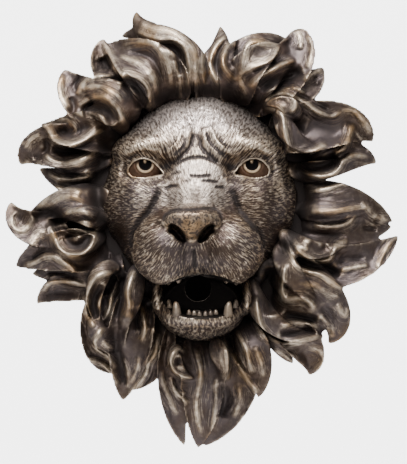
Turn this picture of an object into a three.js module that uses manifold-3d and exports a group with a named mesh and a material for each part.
// A lion's head wall mask: one bronze casting with an open mouth, a water way through the throat
// and a hollow behind the face. It hangs with its flat back against a wall.
//
// Row frame: millimetres, +X right, +Z up, the wall is the plane y = 0 and the face looks along -Y.
// The carving is laid out in sculptor's places, as shares of the mask's height: x to the right and
// z up from a point between the nostrils and the eyes, and rise straight out from the wall.
import * as THREE from 'three';
import { mergeVertices } from 'three/addons/utils/BufferGeometryUtils.js';
import Module from 'manifold-3d';

const wasm = await Module();
wasm.setup();

// Driving dimensions
const maskHeight = 600;        // tip of the top lock to tip of the beard
const waterWay = 36;           // bore from the hollow into the mouth, for a supply pipe and its nut
const shellWall = 22;          // metal between the face and the hollow behind it

// One sculptor's unit: the carving below is written for a mask of this height
const CARVED_HEIGHT = 600;
const unit = maskHeight / CARVED_HEIGHT;

const RAD = Math.PI / 180;
const mix = (a, b, t) => a + (b - a) * t;
const clamp01 = (v) => Math.min(1, Math.max(0, v));
const smooth = (t) => t * t * (3 - 2 * t);
const step = (from, to, v) => smooth(clamp01((v - from) / (to - from)));

// A closed geometry as a solid. A sphere whose points were moved may have turned inside out.
function solid(geometry) {
  const plain = geometry.clone();
  plain.deleteAttribute('normal');
  plain.deleteAttribute('uv');
  const merged = mergeVertices(plain, 1e-3);
  const triVerts = new Uint32Array(merged.index.array);
  const make = () => new wasm.Manifold(new wasm.Mesh({
    numProp: 3,
    vertProperties: new Float32Array(merged.attributes.position.array),
    triVerts,
  }));
  const made = make();
  if (made.volume() > 0) return made;
  for (let i = 0; i < triVerts.length; i += 3) {
    [triVerts[i], triVerts[i + 1]] = [triVerts[i + 1], triVerts[i]];
  }
  return make();
}

// The shells of a mesh, each as the list of its corners: a casting keeps the outer one, so that the
// closed pockets between its locks are filled with metal
function outerShell({ vertProperties, triVerts }) {
  const parent = Array.from({ length: vertProperties.length / 3 }, (_, i) => i);
  const find = (i) => {
    let at = i;
    while (parent[at] !== at) at = parent[at] = parent[parent[at]];
    return at;
  };
  for (let i = 0; i < triVerts.length; i += 3) {
    parent[find(triVerts[i])] = find(triVerts[i + 1]);
    parent[find(triVerts[i + 1])] = find(triVerts[i + 2]);
  }
  const shells = new Map();
  for (let i = 0; i < triVerts.length; i += 3) {
    const name = find(triVerts[i]);
    if (!shells.has(name)) shells.set(name, []);
    shells.get(name).push(triVerts[i], triVerts[i + 1], triVerts[i + 2]);
  }
  return [...shells.values()].reduce((most, shell) => (shell.length > most.length ? shell : most));
}

function geometryOf(manifold) {
  const mesh = manifold.getMesh();
  const geometry = new THREE.BufferGeometry();
  geometry.setAttribute('position', new THREE.BufferAttribute(new Float32Array(mesh.vertProperties), 3));
  geometry.setIndex(new THREE.BufferAttribute(new Uint32Array(outerShell(mesh)), 1));
  geometry.computeVertexNormals();
  return geometry;
}

const joined = (solids) => solids.reduce((all, next) => all.add(next));

// A ball of `sides` by `steps` facets whose points are placed again: `place(t, k)` gives
// [x, rise, z] for the share t of the way from pole to pole and the side k.
function drawnBall(sides, steps, place) {
  const ball = new THREE.SphereGeometry(1, sides, steps);
  const position = ball.attributes.position;
  for (let row = 0; row <= steps; row += 1) {
    for (let column = 0; column <= sides; column += 1) {
      const pole = row === 0 || row === steps;
      const [x, rise, z] = place(row / steps, pole ? 0 : column % sides);
      position.setXYZ(row * (sides + 1) + column, x * unit, -rise * unit, z * unit);
    }
  }
  return solid(ball);
}

// A ball pulled to the size [rx, depth, rz] about a sculptor's place
function ellipsoid({ at: [x, z], rise, size: [rx, depth, rz], sides = 20, steps = 12, turn = 0 }) {
  const ball = new THREE.SphereGeometry(1, sides, steps);
  ball.rotateX(Math.PI / 2);
  ball.scale(rx * unit, depth * unit, rz * unit);
  ball.rotateY(-turn * RAD);
  ball.translate(x * unit, -rise * unit, z * unit);
  return solid(ball);
}

// The head

const skull = { x: 2, z: 44, side: 131, up: 131, down: 150, rise: 128 };

// Swellings of the face. Each is a dome over an oval of the front view: it stands `from` the wall
// at its edge and reaches `to` at its middle; `lean` is how much higher it is for each unit down.
const swellings = [
  { name: 'left brow', at: [-62, 106], size: [56, 27], turn: 9, from: 68, to: 119 },
  { name: 'right brow', at: [64, 106], size: [56, 27], turn: -9, from: 68, to: 119 },
  { name: 'nose bridge', at: [0, 48], size: [54, 84], from: 92, to: 148, lean: 0.4 },
  { name: 'left cheek', at: [-92, 26], size: [46, 56], from: 40, to: 98 },
  { name: 'right cheek', at: [96, 26], size: [46, 56], from: 40, to: 98 },
];

// Hollows of the face, each pressed in by `deep` at its middle
const hollows = [
  { name: 'left eye socket', at: [-71, 79], size: [34, 22], deep: 14 },
  { name: 'right eye socket', at: [73, 79], size: [34, 22], deep: 14 },
  { name: 'left eye corner', at: [-40, 80], size: [15, 20], deep: 14 },
  { name: 'right eye corner', at: [42, 80], size: [15, 20], deep: 14 },
  { name: 'frown', at: [-1, 114], size: [9, 28], deep: 9 },
  { name: 'crown dent', at: [0, 150], size: [26, 22], deep: 5 },
];

const BLEND = 9;   // how softly one swelling runs into the next

function softMax(a, b) {
  const share = clamp01(0.5 + (a - b) / (2 * BLEND));
  return mix(b, a, share) + BLEND * share * (1 - share);
}

function ovalDistance({ at: [cx, cz], size: [rx, rz], turn = 0 }, x, z) {
  const c = Math.cos(turn * RAD);
  const s = Math.sin(turn * RAD);
  const dx = x - cx;
  const dz = z - cz;
  return Math.hypot((dx * c + dz * s) / rx, (dz * c - dx * s) / rz);
}

// How far the face stands from the wall at a place of the front view, given the bare skull there
function faceRise(x, z, bare) {
  let rise = bare;
  for (const dome of swellings) {
    const q = ovalDistance(dome, x, z);
    if (q >= 1) continue;
    const top = dome.to + (dome.lean ?? 0) * (dome.at[1] - z);
    const body = (1 - q ** (2 * (dome.flat ?? 1))) ** 0.8;
    rise = softMax(rise, mix(dome.from, top, body));
  }
  for (const pit of hollows) {
    rise -= pit.deep * Math.exp(-2 * ovalDistance(pit, x, z) ** 2);
  }
  return rise;
}

// The head starts as a box whose points are drawn onto a ball, so that its facets are even in front
const facets = { across: 18, deep: 4 };

function headBall(across, deep) {
  const block = new THREE.BoxGeometry(2, 2, 2, across, deep, across);
  const position = block.attributes.position;
  const even = (v) => Math.tan(v * Math.PI / 4);
  const ray = new THREE.Vector3();
  for (let i = 0; i < position.count; i += 1) {
    ray.set(even(position.getX(i)), even(position.getY(i)), even(position.getZ(i))).normalize();
    const x = skull.x + skull.side * ray.x;
    const z = skull.z + (ray.z > 0 ? skull.up : skull.down) * ray.z;
    const bare = -skull.rise * ray.y;
    const rise = bare > 0 ? faceRise(x, z, bare) : bare;
    position.setXYZ(i, x * unit, -rise * unit, z * unit);
  }
  return solid(block);
}

// The eyes: a ball with a bored pupil, inside an almond rim
const eyes = { left: -71, right: 73, z: 77, rise: 84, size: [23, 23, 17] };

function eye(x, inward) {
  const { z, rise, size } = eyes;
  const ball = ellipsoid({ at: [x, z], rise, size, sides: 12, steps: 6 });
  const rim = new THREE.TorusGeometry(21 * unit, 4 * unit, 4, 12);
  rim.scale(1.12, 0.6, 1);
  rim.rotateX(Math.PI / 2);
  rim.rotateZ(inward * 14 * RAD);
  rim.rotateY(inward * 7 * RAD);
  rim.translate(x * unit, -(rise + 14) * unit, z * unit);
  const pupil = ellipsoid({ at: [x + 2, z + 6], rise: rise + 24, size: [6, 5, 6], sides: 6, steps: 4 });
  return ball.subtract(pupil).add(solid(rim));
}

// The muzzle: a broad ball with two whisker pads, and the nose on top of them
function muzzle() {
  return joined([
    ellipsoid({ at: [0, -18], rise: 84, size: [87, 100, 55], sides: 20, steps: 12 }),
    ellipsoid({ at: [-44, -31], rise: 128, size: [46, 66, 48], sides: 16, steps: 8 }),
    ellipsoid({ at: [43, -31], rise: 128, size: [46, 66, 48], sides: 16, steps: 8 }),
  ]);
}

// The nose pad: widest along its top edge, drawn in below to the stem between the nostrils
const nosePad = { x: -7, rise: 164, top: 41, stem: 9, tall: 27, deep: 44 };

function nose() {
  const sides = 14;
  return drawnBall(sides, 8, (t, k) => {
    const around = 2 * Math.PI * k / sides;
    const out = Math.sin(Math.PI * t) ** 0.75;
    const down = step(-0.1, 1, -Math.sin(around) * out);
    const x = nosePad.x + mix(nosePad.top, nosePad.stem, down) * Math.cos(around) * out;
    const z = mix(2, -2, down) + nosePad.tall * 0.9 * Math.sin(around) * out;
    return [x, nosePad.rise - nosePad.deep * Math.cos(Math.PI * t) * (1 - 0.25 * down), z];
  });
}

// The lower jaw with its lip and chin
const mouth = { x: 4, z: -90, side: 50, tall: 33, back: 98 };

function jaw() {
  const chin = ellipsoid({ at: [4, -112], rise: 58, size: [60, 98, 45], sides: 18, steps: 8 });
  const lip = ellipsoid({ at: [4, -126], rise: 108, size: [50, 50, 17], sides: 16, steps: 6 });
  return chin.add(lip);
}

// What the open mouth takes out of the head: a round-ended tunnel that is open to the front
function mouthHollow() {
  const reach = 140;
  const sides = 18;
  return drawnBall(sides, 6, (t, k) => {
    const around = 2 * Math.PI * k / sides;
    const wide = Math.min(1, Math.sin(Math.PI * t) ** 0.35);
    const x = mouth.x + mouth.side * wide * Math.cos(around);
    const z = mouth.z + mouth.tall * wide * Math.sin(around);
    return [x, mouth.back + reach * t * t, z];
  });
}

function tooth(x, z, rise, tall, thick, up) {
  const cone = new THREE.ConeGeometry(thick * unit, tall * unit, 6);
  cone.rotateX(up * Math.PI / 2);
  cone.translate(x * unit, -rise * unit, z * unit);
  return solid(cone);
}

function teeth() {
  const made = [];
  for (const side of [-1, 1]) {
    const x = mouth.x + side * 35;
    made.push(tooth(x, -108, 138, 34, 8, 1));
    made.push(tooth(x + side * 2, -70, 140, 34, 8, -1));
    made.push(tooth(x + side * 8, -104, 118, 26, 7, 1));
  }
  const tongue = ellipsoid({ at: [mouth.x, -122], rise: 118, size: [27, 34, 12], sides: 12, steps: 6 });
  return joined(made).add(tongue);
}

const nostrils = { apart: 24, z: -8, lean: 24, size: [12, 26, 7] };

function nostril(side) {
  const { apart, z, lean, size } = nostrils;
  return ellipsoid({ at: [nosePad.x + side * apart, z], rise: 190, size, sides: 8, steps: 6, turn: -side * lean });
}

// The mane

// Corners of a lock's section, from its left edge over the top to its right edge, and then of its
// foot: shares of the half width. A broad lock has three facets on top and a flat foot, a narrow
// ridge has two and a keel.
const BROAD = { top: [1, 0.4, -0.4, -1], foot: [-0.55, 0.55], steps: 6 };
const NARROW = { top: [1, 0, -1], foot: [0], steps: 5 };

// A lock flows from `root` to `tip`, leaving and ending along compass headings in degrees, with 0 to
// the right and 90 up. It climbs from `low` to `crest` and comes down to `end` above the wall.
// `cup` hollows its top, or rounds it where it is negative, and `roll` turns its left edge outwards.
function lock({ root, leaves, tip, ends, wide, crest, low = 48, end = 26, cup = 0.5, roll = 0,
  tipRoll = roll, blunt = 0.8, form = BROAD }) {
  const chord = Math.hypot(tip[0] - root[0], tip[1] - root[1]);
  const bend = Math.abs(((ends - leaves + 540) % 360) - 180) * RAD / 2;
  const pull = chord * (bend < 0.05 ? 1 : Math.min(2.2, bend / Math.sin(bend)));
  const out = [pull * Math.cos(leaves * RAD), pull * Math.sin(leaves * RAD)];
  const into = [pull * Math.cos(ends * RAD), pull * Math.sin(ends * RAD)];
  const along = (t, axis) => {
    const t2 = t * t;
    const t3 = t2 * t;
    return (2 * t3 - 3 * t2 + 1) * root[axis] + (t3 - 2 * t2 + t) * out[axis]
      + (3 * t2 - 2 * t3) * tip[axis] + (t3 - t2) * into[axis];
  };
  const height = (t) => mix(low, end, t) + (crest - mix(low, end, 0.45)) * Math.sin(Math.PI * t ** 0.87);
  const centre = (t) => new THREE.Vector3(along(t, 0), height(t), along(t, 1));
  const place = (t, k) => {
    const here = centre(t);
    if (t === 0 || t === 1) return here.toArray();
    const ahead = centre(Math.min(1, t + 0.01)).sub(centre(Math.max(0, t - 0.01))).normalize();
    const side = new THREE.Vector3(-ahead.z, 0, ahead.x).normalize();
    const up = new THREE.Vector3().crossVectors(side, ahead).normalize();
    if (up.y < 0) up.negate();
    const half = wide * mix(0.7, 1, step(0, 0.4, t)) * (1 - t ** 2.6) ** blunt;
    if (k >= form.top.length) {
      const u = form.foot[k - form.top.length];
      const foot = mix(4, here.y * 0.6, step(0.45, 1, t));
      return [here.x + side.x * half * u, foot, here.z + side.z * half * u];
    }
    const tilt = mix(roll * step(0, 0.5, t), tipRoll, step(0.5, 1, t)) * RAD;
    const u = form.top[k] * half;
    const lift = cup * half * (form.top[k] ** 2 - 0.4);
    here.addScaledVector(side, u * Math.cos(tilt) - lift * Math.sin(tilt));
    here.addScaledVector(up, u * Math.sin(tilt) + lift * Math.cos(tilt));
    return here.toArray();
  };
  return drawnBall(form.top.length + form.foot.length, form.steps, place);
}

const ridge = (shape) => lock({ form: NARROW, cup: -0.5, ...shape });

function mane() {
  return [
    // top left tuft
    lock({ root: [0, 168], leaves: 90, tip: [-106, 258], ends: 192, wide: 30, crest: 90, cup: -0.5, roll: -20 }),
    ridge({ root: [-46, 256], leaves: 178, tip: [-84, 292], ends: 86, wide: 17, crest: 62, low: 55, end: 40 }),
    lock({ root: [-36, 160], leaves: 92, tip: [-130, 244], ends: 168, wide: 38, crest: 114, roll: 18 }),
    ridge({ root: [-64, 150], leaves: 88, tip: [-127, 247], ends: 120, wide: 15, crest: 118, roll: 25 }),
    lock({ root: [-86, 182], leaves: 156, tip: [-128, 255], ends: 66, wide: 26, crest: 62, low: 60, end: 40 }),
    // upper left tuft
    lock({ root: [-90, 135], leaves: 98, tip: [-168, 172], ends: 222, wide: 27, crest: 112, cup: -0.4 }),
    ridge({ root: [-100, 120], leaves: 92, tip: [-170, 148], ends: 205, wide: 15, crest: 112 }),
    lock({ root: [-106, 156], leaves: 180, tip: [-182, 213], ends: 100, wide: 36, crest: 72, end: 40 }),
    // left, above the eye
    lock({ root: [-108, 118], leaves: 165, tip: [-215, 139], ends: 146, wide: 32, crest: 92, cup: 0.7, roll: 22 }),
    lock({ root: [-148, 99], leaves: 160, tip: [-243, 82], ends: 246, wide: 34, crest: 66, end: 34 }),
    ridge({ root: [-112, 98], leaves: 212, tip: [-209, 99], ends: 142, wide: 16, crest: 84 }),
    lock({ root: [-110, 62], leaves: 204, tip: [-218, 78], ends: 150, wide: 25, crest: 56, cup: -0.3 }),
    // left tuft
    lock({ root: [-110, 10], leaves: 122, tip: [-238, 6], ends: 212, wide: 27, crest: 90, cup: -0.3, roll: 10 }),
    lock({ root: [-178, 0], leaves: 208, tip: [-255, 32], ends: 88, wide: 27, crest: 62, end: 40 }),
    ridge({ root: [-115, -2], leaves: 150, tip: [-192, 4], ends: 222, wide: 16, crest: 108 }),
    ridge({ root: [-128, -2], leaves: 255, tip: [-206, -2], ends: 105, wide: 15, crest: 106, roll: 10 }),
    lock({ root: [-116, -38], leaves: 176, tip: [-250, -57], ends: 214, wide: 33, crest: 82, roll: 10 }),
    lock({ root: [-112, -60], leaves: 180, tip: [-240, -64], ends: 180, wide: 27, crest: 70, cup: -0.3 }),
    lock({ root: [-108, -72], leaves: 190, tip: [-221, -108], ends: 232, wide: 27, crest: 64 }),
    // lower left tuft
    ridge({ root: [-104, -60], leaves: 155, tip: [-130, -142], ends: 302, wide: 15, crest: 116, low: 90, end: 80 }),
    lock({ root: [-110, -80], leaves: 250, tip: [-106, -202], ends: 330, wide: 37, crest: 78 }),
    ridge({ root: [-140, -120], leaves: 268, tip: [-114, -176], ends: 322, wide: 14, crest: 100, low: 70, end: 70 }),
    lock({ root: [-84, -90], leaves: 264, tip: [-103, -241], ends: 262, wide: 34, crest: 84 }),
    ridge({ root: [-84, -50], leaves: 270, tip: [-112, -150], ends: 232, wide: 16, crest: 104, low: 70, end: 70 }),
    lock({ root: [-50, -125], leaves: 276, tip: [-94, -226], ends: 218, wide: 25, crest: 74 }),
    // beard
    lock({ root: [-22, -125], leaves: 256, tip: [-18, -303], ends: 290, wide: 25, crest: 76 }),
    ridge({ root: [-20, -166], leaves: 172, tip: [-4, -208], ends: 350, wide: 10, crest: 108, low: 90, end: 90 }),
    lock({ root: [6, -140], leaves: 272, tip: [0, -306], ends: 262, wide: 34, crest: 90 }),
    lock({ root: [44, -128], leaves: 300, tip: [8, -303], ends: 226, wide: 31, crest: 82, cup: 0.3 }),
    ridge({ root: [22, -150], leaves: 285, tip: [39, -209], ends: 285, wide: 14, crest: 110, low: 80, end: 80 }),
    lock({ root: [52, -125], leaves: 304, tip: [82, -236], ends: 256, wide: 25, crest: 98, end: 50, cup: -0.3 }),
    // lower right tuft
    ridge({ root: [112, -20], leaves: 264, tip: [164, -118], ends: 300, wide: 17, crest: 116, low: 70, end: 80 }),
    lock({ root: [98, -44], leaves: 320, tip: [186, -166], ends: 238, wide: 38, crest: 90, cup: -0.2 }),
    ridge({ root: [74, -70], leaves: 262, tip: [172, -150], ends: 15, wide: 17, crest: 108, low: 70, end: 75 }),
    lock({ root: [112, -140], leaves: 344, tip: [152, -206], ends: 244, wide: 27, crest: 76 }),
    ridge({ root: [88, -126], leaves: 316, tip: [131, -190], ends: 312, wide: 19, crest: 60 }),
    lock({ root: [86, -90], leaves: 296, tip: [176, -140], ends: 350, wide: 34, crest: 90, end: 60 }),
    // right tuft
    ridge({ root: [112, -2], leaves: 290, tip: [204, -22], ends: 35, wide: 16, crest: 108, low: 70, end: 60 }),
    lock({ root: [112, -42], leaves: 332, tip: [274, -14], ends: 48, wide: 33, crest: 74 }),
    ridge({ root: [122, 24], leaves: 345, tip: [240, 18], ends: 355, wide: 16, crest: 88, end: 50 }),
    lock({ root: [118, 30], leaves: 12, tip: [267, 4], ends: 326, wide: 29, crest: 78, cup: -0.3 }),
    lock({ root: [120, -10], leaves: 350, tip: [266, -2], ends: 8, wide: 30, crest: 72, cup: 0.2 }),
    // upper right tuft
    ridge({ root: [120, 88], leaves: 298, tip: [238, 84], ends: 352, wide: 16, crest: 86, end: 40 }),
    lock({ root: [150, 78], leaves: 24, tip: [244, 84], ends: 320, wide: 27, crest: 60, end: 36, cup: -0.3 }),
    ridge({ root: [112, 160], leaves: 262, tip: [172, 108], ends: 28, wide: 15, crest: 118, low: 95, end: 80 }),
    lock({ root: [96, 122], leaves: 8, tip: [240, 114], ends: 306, wide: 38, crest: 92, cup: 0.6 }),
    ridge({ root: [134, 140], leaves: 88, tip: [89, 160], ends: 215, wide: 13, crest: 120, low: 90, end: 95 }),
    lock({ root: [108, 158], leaves: 345, tip: [238, 116], ends: 298, wide: 20, crest: 70, cup: -0.3 }),
    lock({ root: [90, 168], leaves: 14, tip: [171, 217], ends: 66, wide: 28, crest: 74 }),
    // top right tuft
    ridge({ root: [74, 164], leaves: 60, tip: [134, 223], ends: 18, wide: 16, crest: 108, end: 60 }),
    lock({ root: [60, 160], leaves: 36, tip: [135, 269], ends: 106, wide: 36, crest: 82, end: 36, blunt: 0.5 }),
    lock({ root: [50, 160], leaves: 88, tip: [113, 244], ends: 20, wide: 28, crest: 118, end: 80, roll: -15 }),
    ridge({ root: [44, 172], leaves: 112, tip: [54, 253], ends: 48, wide: 12, crest: 116, end: 60 }),
    ridge({ root: [20, 190], leaves: 80, tip: [30, 273], ends: 102, wide: 20, crest: 64 }),
    lock({ root: [12, 165], leaves: 94, tip: [28, 250], ends: 66, wide: 21, crest: 80 }),
    lock({ root: [36, 180], leaves: 88, tip: [124, 253], ends: 354, wide: 26, crest: 60, cup: -0.3 }),
  ];
}

// The bed that the locks grow from: an oval dish with a flat back
const bed = { x: 0, z: 3, side: 184, tall: 206, rise: 50 };

function maneBed() {
  const profile = [[0, 0], [1, 0], [1, 0.2], [0.9, 0.75], [0.68, 1], [0, 1]];
  const dish = new THREE.LatheGeometry(
    profile.map(([r, h]) => new THREE.Vector2(r, h)), 28);
  dish.scale(bed.side * unit, -bed.rise * unit, bed.tall * unit);
  dish.translate(bed.x * unit, 0, bed.z * unit);
  return solid(dish);
}

// The hollow behind the face follows the skull, one wall's thickness inside it
const inset = shellWall / unit;
const hollow = { top: skull.z + skull.up - inset, low: mouth.z - 26 };

function backHollow() {
  const sides = 20;
  return drawnBall(sides, 8, (t, k) => {
    const around = 2 * Math.PI * k / sides;
    const out = Math.sin(Math.PI * t);
    const tall = Math.sin(around) > 0 ? hollow.top - skull.z : skull.z - hollow.low;
    const x = skull.x + (skull.side - inset) * out * Math.cos(around);
    const z = skull.z + tall * out * Math.sin(around);
    return [x, (skull.rise - 1.7 * inset) * Math.cos(Math.PI * t), z];
  });
}

function throat() {
  const bore = new THREE.CylinderGeometry(waterWay / 2, waterWay / 2, 110 * unit, 16);
  bore.translate(0, -75 * unit, (mouth.z + 4) * unit);
  return solid(bore);
}

function frontOfWall() {
  const half = maskHeight;
  const slab = new THREE.BoxGeometry(2 * half, half, 2 * half);
  slab.translate(0, -half / 2, 0);
  return solid(slab);
}

function mask() {
  const front = joined([headBall(facets.across, facets.deep), muzzle(), nose(), jaw()]).subtract(mouthHollow());
  const head = joined([front, teeth(), eye(eyes.left, 1), eye(eyes.right, -1)])
    .subtract(nostril(-1)).subtract(nostril(1));
  const cast = joined([head, maneBed(), ...mane()]);
  return cast.intersect(frontOfWall()).subtract(backHollow()).subtract(throat());
}

const bronze = new THREE.MeshStandardMaterial({ color: 0x4a3a2c, roughness: 0.42, metalness: 0.85 });
const lion = new THREE.Mesh(geometryOf(mask()), bronze);
lion.name = 'lion_mask';

// It is fixed to the wall in the middle of the flat back between the hollow and the top of the bed
lion.position.z = -unit * (hollow.top + bed.z + bed.tall) / 2;

const group = new THREE.Group();
group.add(lion);
export default group;
